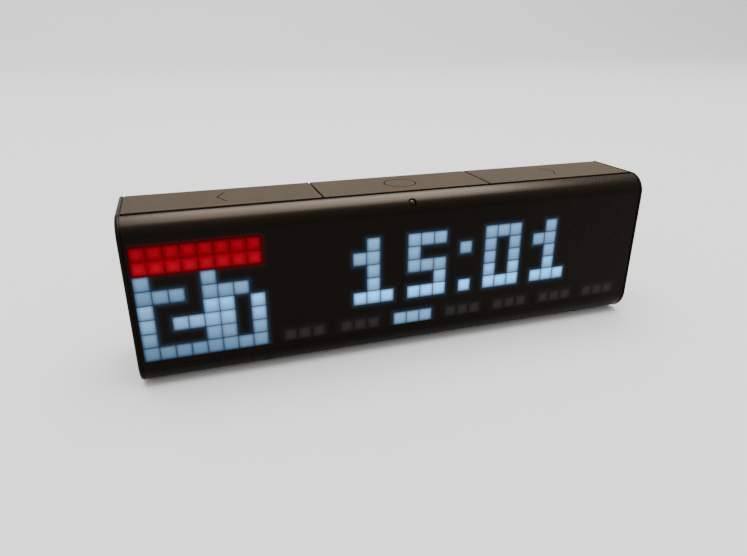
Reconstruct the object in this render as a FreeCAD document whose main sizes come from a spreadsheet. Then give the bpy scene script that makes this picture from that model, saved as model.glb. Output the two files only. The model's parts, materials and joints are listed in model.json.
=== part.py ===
import FreeCAD, Part
import math
import os
import Sketcher

# Desk clock with a pixel matrix along its front and three keys along its top.
#
# Every piece is drawn in the case frame, in millimetres: X to the viewer's right from the middle of
# the width, Y to the back from the plane of the face, Z up from the underside of the case. finish()
# moves each piece into the row frame, whose origin is the bottom centre of the whole clock.

SIZES = {
    # overall
    "body_width": 201.2,
    "body_height": 60.8,
    "base_depth": 36.0,
    "back_corner": 36.18,
    "top_depth": 32.4,
    "foot_proud": 0.7,
    # mouldings
    "top_round": 7.7,
    "seam_y": 6.0,
    "ledge_thickness": 0.6,
    "ledge_gap": 0.2,
    "base_round": 9.0,
    "rear_round": 2.0,
    "crest_round": 1.2,
    "face_wall": 1.5,
    "wall": 2.0,
    "cap_width": 1.4,
    "cap_proud": 0.1,
    "cap_gap": 0.35,
    "cap_edge": 1.0,
    "lip_inset": 0.4,
    "lip_clearance": 0.05,
    "seam_gap": 0.2,
    "overcut": 1.0,
    "base_lip": 9.6,
    # keys
    "key_gap": 0.65,
    "front_gap": 2.1,
    "key_plate": 1.8,
    "key_skirt": 3.4,
    "skirt_wall": 1.4,
    "key_travel": 0.6,
    "travel_gap": 0.2,
    "key_split": 33.0,
    "key_shift": 1.1,
    "key_edge": 0.2,
    "key_rear_inner": 30.65,
    "boss_radius": 2.0,
    "boss_drop": 0.6,
    "leg_radius": 1.5,
    "leg_hole": 1.75,
    "barb_radius": 2.05,
    "barb_length": 1.2,
    "leg_length": 6.9,
    "leg_spread": 22.0,
    "key_centre_y": 18.0,
    # rear wall's lip behind the keys
    "rib_outer": 30.4,
    "rib_wall": 1.0,
    "rib_gap": 0.25,
    "rib_top": 58.0,
    "rib_root": 54.9,
    "rib_chamfer": 53.4,
    # deck under the keys
    "deck_low": 53.6,
    "deck_thickness": 1.4,
    "deck_front": 8.4,
    "deck_back": 26.2,
    "deck_end": 96.0,
    "deck_screw_y": 23.2,
    "bracket_width": 6.0,
    "bracket_drop": 5.0,
    "bracket_front": 20.6,
    "bracket_back": 31.5,
    "key_board_thickness": 1.0,
    "key_board_front": 12.0,
    "key_board_back": 20.8,
    "key_board_margin": 6.0,
    "key_board_hole": 2.15,
    # tact switches
    "switch_side": 3.4,
    "switch_body": 1.1,
    "switch_height": 1.6,
    "switch_stem": 0.9,
    # pixel matrix
    "pitch_x": 5.298,
    "pitch_z": 5.19,
    "columns": 37.0,
    "rows": 8.0,
    "icon_columns": 8.0,
    "lowest_row": 12.77,
    "grid_wall": 0.6,
    "grid_front": 2.3,
    "grid_depth": 4.0,
    "rail": 2.6,
    "sheet_front": 1.7,
    "sheet_thickness": 0.5,
    "led_side": 2.0,
    "led_height": 0.8,
    "led_board_thickness": 1.2,
    "pin_radius": 0.8,
    "pin_hole": 0.9,
    "pin_head": 1.6,
    "pin_head_height": 0.6,
    "pin_x": 94.0,
    "pin_inset": 1.3,
    # case screws through the back
    "tower_radius": 3.0,
    "post_radius": 2.2,
    "post_z": 4.6,
    "post_root": 3.9,
    "post_end": 12.0,
    "pilot_radius": 1.0,
    "pilot_depth": 8.0,
    "screw_radius": 1.0,
    "screw_hole": 1.4,
    "screw_head": 2.2,
    "counterbore": 2.6,
    "seat_y": 16.0,
    "tower_front": 12.3,
    "tower_back": 34.0,
    "screw_x_outer": 88.0,
    "screw_x_inner": 54.0,
    "screw_length": 10.0,
    "board_screw_length": 3.4,
    "frame_screw_length": 5.0,
    "side_screw_length": 3.5,
    "head_height": 1.4,
    "drive_radius": 0.9,
    "drive_depth": 0.8,
    "join": 0.1,
    # main board
    "board_low": 5.0,
    "board_thickness": 1.2,
    "board_front": 12.5,
    "board_back": 32.0,
    "board_half": 46.0,
    "board_post": 2.4,
    "board_screw_x": 42.5,
    "board_screw_front": 15.5,
    "board_screw_back": 28.5,
    "module_length": 25.5,
    "module_width": 17.0,
    "module_thickness": 0.8,
    "shield_length": 17.6,
    "shield_width": 15.8,
    "shield_height": 2.2,
    "shield_inset_x": 0.8,
    "shield_inset_y": 0.6,
    "module_x": -38.5,
    "module_y": 13.5,
    # micro-USB socket
    "usb_width": 7.5,
    "usb_height": 2.6,
    "usb_depth": 5.6,
    "usb_wall": 0.3,
    "usb_tongue_height": 0.6,
    "usb_tongue_inset": 1.6,
    "usb_clearance": 0.4,
    "usb_mouth": 34.6,
    "usb_hole_depth": 8.0,
    "usb_tongue_short": 1.0,
    # speakers
    "speaker_x": 63.0,
    "speaker_z": 30.0,
    "speaker_radius": 14.0,
    "speaker_hole": 12.4,
    "flange": 1.2,
    "basket_depth": 5.4,
    "basket_radius": 8.6,
    "magnet_radius": 6.5,
    "magnet_depth": 4.0,
    "gasket": 0.8,
    "gasket_crush": 0.05,
    "basket_wall": 0.8,
    "basket_lip": 0.2,
    "basket_eye": 4.5,
    "cone_wall": 0.5,
    "dome_radius": 4.5,
    "dome_crest": -1.9,
    "dome_foot": -2.5,
    "roll": 1.2,
    "roll_drop": 0.3,
    "slot_width": 1.6,
    "slot_pitch": 3.4,
    "slot_height": 22.0,
    "slots": 7.0,
    # light sensor in the top-front edge
    "sensor_x": -0.5,
    "sensor_angle": 51.0,
    "lens_radius": 1.5,
    "lens_hole": 1.55,
    "lens_recess": 0.2,
    "lens_crown": 1.3,
    "sensor_side": 2.0,
    "sensor_height": 0.5,
    "sensor_gap": 0.1,
    "sensor_board_side": 3.2,
    "sensor_board_length": 6.0,
    "sensor_board_thickness": 0.8,
    # side buttons
    "button_radius": 3.25,
    "button_gap": 0.2,
    "button_flange": 4.4,
    "button_flange_width": 1.4,
    "button_travel": 0.6,
    "button_inner": 97.3,
    "button_y": 18.0,
    "volume_up_z": 37.0,
    "volume_down_z": 25.0,
    "power_z": 31.0,
    "side_board_x": 95.0,
    "side_board_thickness": 1.0,
    "side_board_width": 9.0,
    "side_board_height": 32.0,
    "side_post_radius": 2.0,
    "side_post_reach": 13.0,
    "side_post_floor": 0.5,
    "side_board_hole": 1.1,
    "tab_front": 12.0,
    "tab_back": 24.0,
    "tab_low": 2.3,
    "tab_thickness": 1.2,
    "tab_end": 93.8,
    # foot and label
    "foot_half": 48.0,
    "foot_front": 10.5,
    "foot_back": 31.0,
    "foot_edge": 0.3,
    "label_start": 61.0,
    "label_end": 81.0,
    "label_front": 13.0,
    "label_back": 28.0,
    "label_thickness": 0.15,
    # ribbons
    "ribbon_thickness": 0.3,
    "ribbon_width": 10.0,
    "ribbon_x": 3.0,
    "socket_height": 2.2,
    "socket_depth": 3.2,
    "socket_margin": 0.5,
    "matrix_ribbon_y": 13.0,
    "matrix_ribbon_top": 22.0,
    "matrix_ribbon_lift": 1.0,
    "key_ribbon_y": 27.6,
    "key_ribbon_bend": 46.0,
    "key_ribbon_turn": 51.8,
    "slot_margin": 1.0,
    "slot_front": 21.9,
    "slot_back": 23.1,
}

DOC = FreeCAD.newDocument("desk_clock")
SHEET = DOC.addObject("Spreadsheet::Sheet", "sizes")
for row, (alias, number) in enumerate(SIZES.items(), start=1):
    SHEET.set("A%d" % row, alias)
    SHEET.set("B%d" % row, str(number))
    SHEET.setAlias("B%d" % row, alias)
DOC.recompute()

PIECES = []
VEC = FreeCAD.Vector
TOUCH = 1e-4
NEAR = 0.02


def linked(formula):
    """A formula in the sheet's words, as an expression that refers to the sheet."""
    words = []
    word = ""
    for sign in formula + " ":
        if sign.isalnum() or sign == "_":
            word += sign
            continue
        words.append("sizes." + word if word in SIZES else word)
        words.append(sign)
        word = ""
    return "".join(words).strip()


def number(formula):
    """The formula's value now, for a first guess that the expression then holds."""
    return float(SHEET.evalExpression(linked(formula)))


def bind(thing, prop, formula):
    thing.setExpression(prop, linked(formula))


def finish(thing, label):
    """Names a sub-part and moves it from the case frame to the row frame."""
    holder = DOC.addObject("Part::Compound", label)
    holder.Links = [thing]
    holder.Label = label
    bind(holder, "Placement.Base.y", "-base_depth / 2")
    bind(holder, "Placement.Base.z", "foot_proud")
    PIECES.append(holder)
    return holder


# ---- Part primitives ----

def box(name, low, size):
    block = DOC.addObject("Part::Box", name)
    for prop, formula in zip(("Length", "Width", "Height"), size):
        bind(block, prop, formula)
    for axis, formula in zip("xyz", low):
        bind(block, "Placement.Base." + axis, formula)
    return block


TURNS = {
    "+X": FreeCAD.Rotation(VEC(0, 1, 0), 90),
    "-X": FreeCAD.Rotation(VEC(0, 1, 0), -90),
    "+Y": FreeCAD.Rotation(VEC(1, 0, 0), -90),
    "-Y": FreeCAD.Rotation(VEC(1, 0, 0), 90),
    "+Z": FreeCAD.Rotation(),
}


def rod(name, base, axis, radius, length):
    """A cylinder that starts at base and runs along axis."""
    shaft = DOC.addObject("Part::Cylinder", name)
    bind(shaft, "Radius", radius)
    bind(shaft, "Height", length)
    shaft.Placement = FreeCAD.Placement(VEC(), TURNS[axis])
    for letter, formula in zip("xyz", base):
        bind(shaft, "Placement.Base." + letter, formula)
    return shaft


def gather(name, things):
    group = DOC.addObject("Part::Compound", name)
    group.Links = things
    return group


def fuse(name, things):
    joined = DOC.addObject("Part::MultiFuse", name)
    joined.Shapes = things
    return joined


def cut(name, base, tools):
    result = DOC.addObject("Part::Cut", name)
    result.Base = base
    result.Tool = tools[0] if len(tools) == 1 else gather(name + "_tools", tools)
    return result


# ---- PartDesign bodies ----

def new_body(name):
    return DOC.addObject("PartDesign::Body", name)


def new_sketch(body, name, plane, offset="0"):
    sketch = body.newObject("Sketcher::SketchObject", name)
    origin = [item for item in body.Origin.OriginFeatures if item.Role == plane]
    sketch.AttachmentSupport = [(origin[0], "")]
    sketch.MapMode = "FlatFace"
    bind(sketch, "AttachmentOffset.Base.z", offset)
    return sketch


def pin_point(sketch, curve, end, across, up):
    """Holds one end of a curve at a point given by two formulas."""
    for kind, formula in (("DistanceX", across), ("DistanceY", up)):
        held = sketch.addConstraint(Sketcher.Constraint(kind, -1, 1, curve, end, number(formula)))
        sketch.setExpression("Constraints[%d]" % held, linked(formula))


def outline(sketch, corners, arcs=None):
    """A closed outline. corners are pairs of formulas; arcs maps the index of a corner where an arc
    starts to its radius formula and its turn, +1 for anticlockwise and -1 for clockwise."""
    arcs = arcs or {}
    points = [VEC(number(across), number(up), 0) for across, up in corners]
    ends = []
    for index, start in enumerate(points):
        stop = points[(index + 1) % len(points)]
        if index not in arcs:
            curve = sketch.addGeometry(Part.LineSegment(start, stop), False)
            ends.append((curve, 1, 2))
            continue
        radius, turn = arcs[index]
        first, last = (start, stop) if turn > 0 else (stop, start)
        chord = last - first
        span = number(radius)
        rise = math.sqrt(max(span * span - chord.Length * chord.Length / 4, 0))
        centre = first + chord * 0.5 + VEC(-chord.y, chord.x, 0).normalize() * rise
        angles = [math.atan2(end.y - centre.y, end.x - centre.x) for end in (first, last)]
        circle = Part.Circle(centre, VEC(0, 0, 1), span)
        curve = sketch.addGeometry(Part.ArcOfCircle(circle, angles[0], angles[1]), False)
        ends.append((curve, 1, 2) if turn > 0 else (curve, 2, 1))
    for index, (curve, head, tail) in enumerate(ends):
        following = ends[(index + 1) % len(ends)]
        sketch.addConstraint(Sketcher.Constraint("Coincident", curve, tail, following[0], following[1]))
    for (curve, head, tail), (across, up) in zip(ends, corners):
        pin_point(sketch, curve, head, across, up)
    for index, (radius, turn) in arcs.items():
        held = sketch.addConstraint(Sketcher.Constraint("Radius", ends[index][0], number(radius)))
        sketch.setExpression("Constraints[%d]" % held, linked(radius))


def circles(sketch, centres, radius):
    for across, up in centres:
        centre = VEC(number(across), number(up), 0)
        curve = sketch.addGeometry(Part.Circle(centre, VEC(0, 0, 1), number(radius)), False)
        pin_point(sketch, curve, 3, across, up)
        held = sketch.addConstraint(Sketcher.Constraint("Radius", curve, number(radius)))
        sketch.setExpression("Constraints[%d]" % held, linked(radius))


def rectangle(sketch, low, high):
    outline(sketch, [low, (high[0], low[1]), high, (low[0], high[1])])


def pad(body, sketch, length, flipped=False):
    feature = body.newObject("PartDesign::Pad", sketch.Name + "_pad")
    feature.Profile = sketch
    feature.Reversed = flipped
    bind(feature, "Length", length)
    body.Tip = feature
    return feature


def pocket(body, sketch, length, flipped=False):
    feature = body.newObject("PartDesign::Pocket", sketch.Name + "_pocket")
    feature.Profile = sketch
    feature.Reversed = flipped
    bind(feature, "Length", length)
    body.Tip = feature
    return feature


def round_edges(body, name, radius, chosen):
    """Rounds the edges of the body's shape so far whose middle point passes the test."""
    DOC.recompute()
    base = body.Tip
    names = []
    for index, edge in enumerate(base.Shape.Edges, start=1):
        middle = edge.valueAt((edge.FirstParameter + edge.LastParameter) / 2)
        if chosen(edge, middle):
            names.append("Edge%d" % index)
    feature = body.newObject("PartDesign::Fillet", name)
    feature.Base = (base, names)
    bind(feature, "Radius", radius)
    body.Tip = feature
    return feature


def runs_along_x(edge):
    ends = [vertex.Point for vertex in edge.Vertexes]
    return len(ends) == 2 and abs(ends[0].x - ends[1].x) > 1 and ends[0].distanceToPoint(
        VEC(ends[0].x, ends[1].y, ends[1].z)) < TOUCH


def near(middle, across, up):
    """True when a middle point lies at the given Y and Z formulas."""
    return abs(middle.y - number(across)) < NEAR and abs(middle.z - number(up)) < NEAR


def back_at(height, inset="cap_proud"):
    """Y of the sloping back at a height, less an inset."""
    return "back_corner - (%s) - (back_corner - top_depth) * (%s) / body_height" % (inset, height)


HALF = "body_width / 2"
SHELL_END = "(body_width / 2 - cap_width - cap_gap)"
TOP = "(body_height - cap_proud)"
GRID_LOW = "(lowest_row - pitch_z / 2 - grid_wall / 2)"
GRID_HIGH = "(lowest_row + pitch_z * (rows - 0.5) + grid_wall / 2)"
GRID_HALF = "(pitch_x * columns / 2 + grid_wall / 2)"
GRID_BACK = "(grid_front + grid_depth)"
DECK_TOP = "(deck_low + deck_thickness)"
KEY_BOARD_TOP = "(deck_low + deck_thickness + key_board_thickness)"
BOARD_TOP = "(board_low + board_thickness)"
PIN_HEIGHTS = ("%s - pin_inset" % GRID_LOW, "%s + pin_inset" % GRID_HIGH)
PIN_PLACES = [(across, up) for up in PIN_HEIGHTS for across in ("-pin_x", "0", "pin_x")]
CASE_SCREWS = ("-screw_x_outer", "-screw_x_inner", "screw_x_inner", "screw_x_outer")
LEFT_SPLIT = "(key_shift - key_split)"
RIGHT_SPLIT = "(key_shift + key_split)"
KEY_CENTRES = {
    "left_key": "(%s - %s) / 2" % (LEFT_SPLIT, SHELL_END),
    "action_key": "key_shift",
    "right_key": "(%s + %s) / 2" % (RIGHT_SPLIT, SHELL_END),
}
# parts on the main board: X and Y of the near left corner, then width, depth and height
CHIPS = {
    "processor": ("8", "17.5", "8", "8", "0.9"),
    "amplifier": ("24", "16", "6", "6", "0.9"),
    "regulator": ("33", "24", "5", "4", "1.4"),
    "memory": ("-8", "20", "5", "4", "0.9"),
}
SOCKETS = {
    "matrix": ("ribbon_x - socket_margin", "matrix_ribbon_y", "ribbon_width + 2 * socket_margin",
               "socket_depth", "socket_height"),
    "keys": ("ribbon_x + 3 * socket_margin", "27", "ribbon_width", "socket_depth", "socket_height"),
    "left_lead": ("-44.5", "20", "4", "5", "3.2"),
    "right_lead": ("40.5", "20", "4", "5", "3.2"),
}
DECK_SCREWS = ("-screw_x_outer", "-key_split", "key_split", "screw_x_outer")


# ---- case ----

def edge_direction(radius):
    """A point on the round top-front edge, at the sensor's angle and a radius from its centre."""
    return (
        "top_round - (%s) * sin(sensor_angle)" % radius,
        "body_height - top_round + (%s) * cos(sensor_angle)" % radius,
    )


def edge_rod(name, inner, outer, radius):
    """A rod square to the round top-front edge, between two radii from the round's centre."""
    shaft = DOC.addObject("Part::Cylinder", name)
    bind(shaft, "Radius", radius)
    bind(shaft, "Height", "(%s) - (%s)" % (outer, inner))
    shaft.Placement = FreeCAD.Placement(VEC(), FreeCAD.Rotation(VEC(1, 0, 0), SIZES["sensor_angle"]))
    across, up = edge_direction(inner)
    bind(shaft, "Placement.Base.x", "sensor_x")
    bind(shaft, "Placement.Base.y", across)
    bind(shaft, "Placement.Base.z", up)
    return shaft


def edge_block(name, inner, outer, length, side):
    """A block square to the round top-front edge, between two radii from the round's centre."""
    block = DOC.addObject("Part::Box", name)
    bind(block, "Length", length)
    bind(block, "Width", side)
    bind(block, "Height", "(%s) - (%s)" % (outer, inner))
    block.Placement = FreeCAD.Placement(VEC(), FreeCAD.Rotation(VEC(1, 0, 0), SIZES["sensor_angle"]))
    across, up = edge_direction(inner)
    bind(block, "Placement.Base.x", "sensor_x - (%s) / 2" % length)
    bind(block, "Placement.Base.y", "%s - (%s) / 2 * cos(sensor_angle)" % (across, side))
    bind(block, "Placement.Base.z", "%s - (%s) / 2 * sin(sensor_angle)" % (up, side))
    return block


def arc_height(radius):
    """Z where the front shell's top-front arc of a radius ends, at the seam in front of the keys."""
    return "body_height - top_round + sqrt((%s) ^ 2 - (top_round - seam_y) ^ 2)" % radius


def make_front_shell():
    """A smoked channel: the face, the round edge above it, a ledge that closes the seam in front of
    the keys, and the round edge below the face."""
    body = new_body("front_moulding")
    inner = "cap_proud + face_wall"
    ledge_low = arc_height("top_round - cap_proud - face_wall")
    ledge_back = "seam_y + front_gap - ledge_gap"
    section = new_sketch(body, "front_section", "YZ_Plane", "-" + SHELL_END)
    outline(section, [
        ("cap_proud", "base_round"),
        ("cap_proud", "body_height - top_round"),
        ("seam_y", arc_height("top_round - cap_proud")),
        ("seam_y", ledge_low + " + ledge_thickness"),
        (ledge_back, ledge_low + " + ledge_thickness"),
        (ledge_back, ledge_low),
        ("seam_y", ledge_low),
        (inner, "body_height - top_round"),
        (inner, "base_round"),
        ("base_round", inner),
        ("base_lip", inner),
        ("base_lip", "cap_proud"),
        ("base_round", "cap_proud"),
    ], {
        1: ("top_round - cap_proud", -1),
        6: ("top_round - cap_proud - face_wall", 1),
        8: ("base_round - cap_proud - face_wall", 1),
        12: ("base_round - cap_proud", -1),
    })
    pad(body, section, "2 * " + SHELL_END)

    pins = new_sketch(body, "stake_pins", "XZ_Plane", "-cap_proud - face_wall / 2")
    circles(pins, PIN_PLACES, "pin_radius")
    pad(body, pins, GRID_BACK + " + led_board_thickness - cap_proud - face_wall / 2", True)
    heads = new_sketch(body, "stake_heads", "XZ_Plane", "-%s - led_board_thickness" % GRID_BACK)
    circles(heads, PIN_PLACES, "pin_head")
    pad(body, heads, "pin_head_height", True)

    posts = new_sketch(body, "screw_posts", "XZ_Plane", "-post_root")
    circles(posts, [(across, "post_z") for across in CASE_SCREWS], "post_radius")
    pad(body, posts, "post_end - post_root", True)
    pilots = new_sketch(body, "pilot_holes", "XZ_Plane", "-post_end")
    circles(pilots, [(across, "post_z") for across in CASE_SCREWS], "pilot_radius")
    pocket(body, pilots, "pilot_depth", True)

    opening = edge_rod("lens_opening", "top_round - cap_proud - face_wall - overcut",
                       "top_round + overcut", "lens_hole")
    finish(cut("front_with_lens_hole", body, [opening]), "front_shell")


def make_rear_shell():
    """The base and the sloping back, with speaker slots, screw towers and brackets."""
    body = new_body("rear_moulding")
    start = "base_lip + seam_gap"
    wall_top = TOP + " - key_skirt - key_travel - travel_gap"
    section = new_sketch(body, "rear_section", "YZ_Plane", "-" + SHELL_END)
    outline(section, [
        (start, "cap_proud"),
        (back_at("cap_proud"), "cap_proud"),
        (back_at(wall_top), wall_top),
        ("rib_outer", wall_top),
        ("rib_outer", "rib_top"),
        ("rib_outer - rib_wall", "rib_top"),
        ("rib_outer - rib_wall", "rib_root"),
        (back_at("rib_chamfer", "cap_proud + wall"), "rib_chamfer"),
        (back_at("cap_proud + wall", "cap_proud + wall"), "cap_proud + wall"),
        (start, "cap_proud + wall"),
    ])
    pad(body, section, "2 * " + SHELL_END)
    round_edges(body, "rear_corner", "rear_round", lambda edge, middle: runs_along_x(edge) and near(
        middle, back_at("cap_proud"), "cap_proud"))

    towers = new_sketch(body, "screw_towers", "XZ_Plane", "-tower_front")
    circles(towers, [(across, "post_z") for across in CASE_SCREWS], "tower_radius")
    pad(body, towers, "tower_back - tower_front", True)
    for name, radius, begin in (("screw_holes", "screw_hole", "tower_front - overcut"),
                                ("head_wells", "counterbore", "seat_y")):
        holes = new_sketch(body, name, "XZ_Plane", "-(%s)" % begin)
        circles(holes, [(across, "post_z") for across in CASE_SCREWS], radius)
        pocket(body, holes, "base_depth + overcut - (%s)" % begin, False)

    stands = new_sketch(body, "board_stands", "XY_Plane", "cap_proud + wall / 2")
    places = [(across, along) for across in ("-board_screw_x", "board_screw_x")
              for along in ("board_screw_front", "board_screw_back")]
    circles(stands, places, "board_post")
    pad(body, stands, "board_low - cap_proud - wall / 2")
    stand_holes = new_sketch(body, "stand_holes", "XY_Plane", "board_low")
    circles(stand_holes, places, "pilot_radius")
    pocket(body, stand_holes, "board_low - cap_proud - wall / 2")

    slot = new_sketch(body, "grille_slot", "XZ_Plane", "-seat_y + overcut")
    first = "speaker_x - slot_pitch * (slots - 1) / 2"
    radius = "slot_width / 2"
    outline(slot, [
        (first + " - " + radius, "speaker_z - slot_height / 2"),
        (first + " + " + radius, "speaker_z - slot_height / 2"),
        (first + " + " + radius, "speaker_z + slot_height / 2"),
        (first + " - " + radius, "speaker_z + slot_height / 2"),
    ], {0: (radius, 1), 2: (radius, 1)})
    cutting = pocket(body, slot, "base_depth", False)
    repeat = body.newObject("PartDesign::MultiTransform", "grille_slots")
    repeat.Originals = [cutting]
    body.Tip = repeat
    row = DOC.addObject("PartDesign::LinearPattern", "slot_row")
    row.Direction = (slot, ["H_Axis"])
    bind(row, "Length", "slot_pitch * (slots - 1)")
    row.Occurrences = int(SIZES["slots"])
    sides = DOC.addObject("PartDesign::Mirrored", "slot_sides")
    sides.MirrorPlane = (slot, ["V_Axis"])
    repeat.Transformations = [row, sides]

    brackets = []
    for index, across in enumerate(DECK_SCREWS):
        bracket = box("deck_bracket_%d" % index,
                      ("%s - bracket_width / 2" % across, "bracket_front", "deck_low - bracket_drop"),
                      ("bracket_width", "bracket_back - bracket_front", "bracket_drop"))
        pilot = rod("bracket_pilot_%d" % index, (across, "deck_screw_y", "deck_low - bracket_drop"),
                    "+Z", "pilot_radius", "bracket_drop + overcut")
        brackets.append(cut("bracket_%d" % index, bracket, [pilot]))
    usb_hole = box("usb_hole",
                   ("-usb_width / 2 - usb_clearance", "board_back - overcut",
                    BOARD_TOP + " - usb_clearance"),
                   ("usb_width + 2 * usb_clearance", "usb_hole_depth", "usb_height + 2 * usb_clearance"))
    joined = fuse("rear_with_brackets", [body] + brackets)
    finish(cut("rear_with_usb_hole", joined, [usb_hole]), "rear_shell")


def make_end_cap(label, side, button_heights):
    """An end cap: a plate in the clock's outline with posts for a small board and two tabs."""
    body = new_body(label + "_plate")
    plate_start = "-" + HALF if side < 0 else HALF + " - cap_width"
    section = new_sketch(body, label + "_section", "YZ_Plane", plate_start)
    outline(section, [
        ("0", "base_round"),
        ("0", "body_height - top_round"),
        ("top_round", "body_height"),
        ("top_depth", "body_height"),
        ("back_corner", "0"),
        ("base_round", "0"),
    ], {1: ("top_round", -1), 5: ("base_round", -1)})
    pad(body, section, "cap_width")
    round_edges(body, label + "_corner", "rear_round", lambda edge, middle: runs_along_x(edge) and near(
        middle, "back_corner", "0"))
    round_edges(body, label + "_crest", "crest_round", lambda edge, middle: runs_along_x(edge) and near(
        middle, "top_depth", "body_height"))
    lip_start = "-%s + cap_width" % HALF if side < 0 else SHELL_END + " + lip_clearance"
    lip = new_sketch(body, label + "_lip", "YZ_Plane", lip_start)
    outline(lip, [
        ("lip_inset", "base_round"),
        ("lip_inset", "body_height - top_round"),
        ("top_round", "body_height - lip_inset"),
        ("top_depth - crest_round", "body_height - lip_inset"),
        (back_at("body_height - crest_round", "lip_inset"), "body_height - crest_round"),
        (back_at("rear_round", "lip_inset"), "rear_round"),
        ("back_corner - rear_round", "lip_inset"),
        ("base_round", "lip_inset"),
    ], {1: ("top_round - lip_inset", -1), 7: ("base_round - lip_inset", -1)})
    pad(body, lip, "cap_gap - lip_clearance")
    outer = side * number(HALF)
    round_edges(body, label + "_edge", "cap_edge", lambda edge, middle: abs(middle.x - outer) < TOUCH)

    inner = "(%s - cap_width)" % HALF
    letter = "-X" if side < 0 else "+X"
    sign = "-" if side < 0 else ""
    posts = []
    for index, up in enumerate(("power_z - side_post_reach", "power_z + side_post_reach")):
        post = rod("%s_post_%d" % (label, index), (sign + "side_board_x", "button_y", up), letter,
                   "side_post_radius", inner + " - side_board_x + cap_width / 2")
        pilot = rod("%s_pilot_%d" % (label, index), (sign + "side_board_x", "button_y", up), letter,
                    "pilot_radius", inner + " - side_board_x - side_post_floor")
        posts.append(cut("%s_bored_post_%d" % (label, index), post, [pilot]))
    tab_low = "-%s" % inner if side < 0 else "tab_end"
    tab = box(label + "_tab", (tab_low, "tab_front", "tab_low"),
              (inner + " - tab_end", "tab_back - tab_front", "tab_thickness"))
    plate = fuse(label + "_with_posts", [body, tab] + posts)
    holes = [rod("%s_hole_%d" % (label, index), (sign + SHELL_END, "button_y", up), letter,
                 "button_radius + button_gap", "cap_gap + cap_width + overcut")
             for index, up in enumerate(button_heights)]
    finish(cut(label + "_bored", plate, holes), label)


# ---- keys and what they press ----

def make_key(label, start, end):
    """A hollow cap that fills its stretch of the top, with a switch boss and two barbed guide legs.
    The channel behind its hollow passes over the rear wall's rib."""
    body = new_body(label + "_moulding")
    front = "(seam_y + front_gap)"
    foot = TOP + " - key_skirt"
    under = TOP + " - key_plate"
    centre = KEY_CENTRES[label]
    section = new_sketch(body, label + "_section", "YZ_Plane", start)
    channel = "(rib_outer - rib_wall - rib_gap)"
    outline(section, [
        (front, foot),
        (channel, foot),
        (channel, under),
        ("key_rear_inner", under),
        ("key_rear_inner", foot),
        (back_at(foot), foot),
        (back_at(TOP), TOP),
        (front, TOP),
    ])
    pad(body, section, "(%s) - (%s)" % (end, start))
    hollow = new_sketch(body, label + "_hollow", "XY_Plane", foot)
    rectangle(hollow, ("(%s) + skirt_wall" % start, front + " + skirt_wall"),
              ("(%s) - skirt_wall" % end, "key_rear_inner"))
    pocket(body, hollow, "key_skirt - key_plate", True)
    round_edges(body, label + "_crest", "crest_round", lambda edge, middle: runs_along_x(edge) and near(
        middle, back_at(TOP), TOP))
    ends = (number(start), number(end))
    top = number(TOP)
    round_edges(body, label + "_rim", "key_edge", lambda edge, middle: abs(middle.z - top) < TOUCH and (
        min(abs(middle.x - ends[0]), abs(middle.x - ends[1])) < TOUCH or near(middle, front, TOP)))

    boss = new_sketch(body, label + "_boss", "XY_Plane", under)
    circles(boss, [(centre, "key_centre_y")], "boss_radius")
    pad(body, boss, "boss_drop", True)
    places = [("%s %s leg_spread" % (centre, sign), "key_centre_y") for sign in "-+"]
    legs = new_sketch(body, label + "_legs", "XY_Plane", under)
    circles(legs, places, "leg_radius")
    pad(body, legs, "leg_length", True)
    barbs = new_sketch(body, label + "_barbs", "XY_Plane", under + " - leg_length")
    circles(barbs, places, "barb_radius")
    pad(body, barbs, "barb_length")
    finish(body, label)


def key_legs():
    return [("%s %s leg_spread" % (centre, sign), "key_centre_y")
            for centre in KEY_CENTRES.values() for sign in "-+"]


def make_key_frame():
    """The deck that guides the keys' legs and carries their board."""
    body = new_body("key_deck")
    plan = new_sketch(body, "deck_plan", "XY_Plane", "deck_low")
    rectangle(plan, ("-deck_end", "deck_front"), ("deck_end", "deck_back"))
    pad(body, plan, "deck_thickness")
    guides = new_sketch(body, "leg_guides", "XY_Plane", DECK_TOP)
    circles(guides, key_legs(), "leg_hole")
    pocket(body, guides, "deck_thickness")
    screws = new_sketch(body, "deck_screw_holes", "XY_Plane", DECK_TOP)
    circles(screws, [(across, "deck_screw_y") for across in DECK_SCREWS], "screw_hole")
    pocket(body, screws, "deck_thickness")
    slot = new_sketch(body, "ribbon_slot", "XY_Plane", DECK_TOP)
    rectangle(slot, ("ribbon_x + slot_margin", "slot_front"),
              ("ribbon_x + ribbon_width + 2 * slot_margin", "slot_back"))
    pocket(body, slot, "deck_thickness")
    finish(body, "key_frame")


def make_key_board():
    body = new_body("key_circuit")
    plan = new_sketch(body, "key_board_plan", "XY_Plane", DECK_TOP)
    rectangle(plan, ("%s - leg_spread - key_board_margin" % KEY_CENTRES["left_key"], "key_board_front"),
              ("%s + leg_spread + key_board_margin" % KEY_CENTRES["right_key"], "key_board_back"))
    pad(body, plan, "key_board_thickness")
    holes = new_sketch(body, "key_board_holes", "XY_Plane", KEY_BOARD_TOP)
    circles(holes, key_legs(), "key_board_hole")
    pocket(body, holes, "key_board_thickness")
    finish(body, "key_board")


def tact_switch(name, base, axis):
    """A square tact switch with a round stem; base is the middle of its foot."""
    across, along, up = base
    half = "switch_side / 2"
    if axis == "+Z":
        case = box(name + "_case", ("%s - %s" % (across, half), "%s - %s" % (along, half), up),
                   ("switch_side", "switch_side", "switch_body"))
    else:
        low = across if axis == "+X" else "%s - switch_body" % across
        case = box(name + "_case", (low, "%s - %s" % (along, half), "%s - %s" % (up, half)),
                   ("switch_body", "switch_side", "switch_side"))
    stem = rod(name + "_stem", base, axis, "switch_stem", "switch_height")
    return fuse(name, [case, stem])


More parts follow.
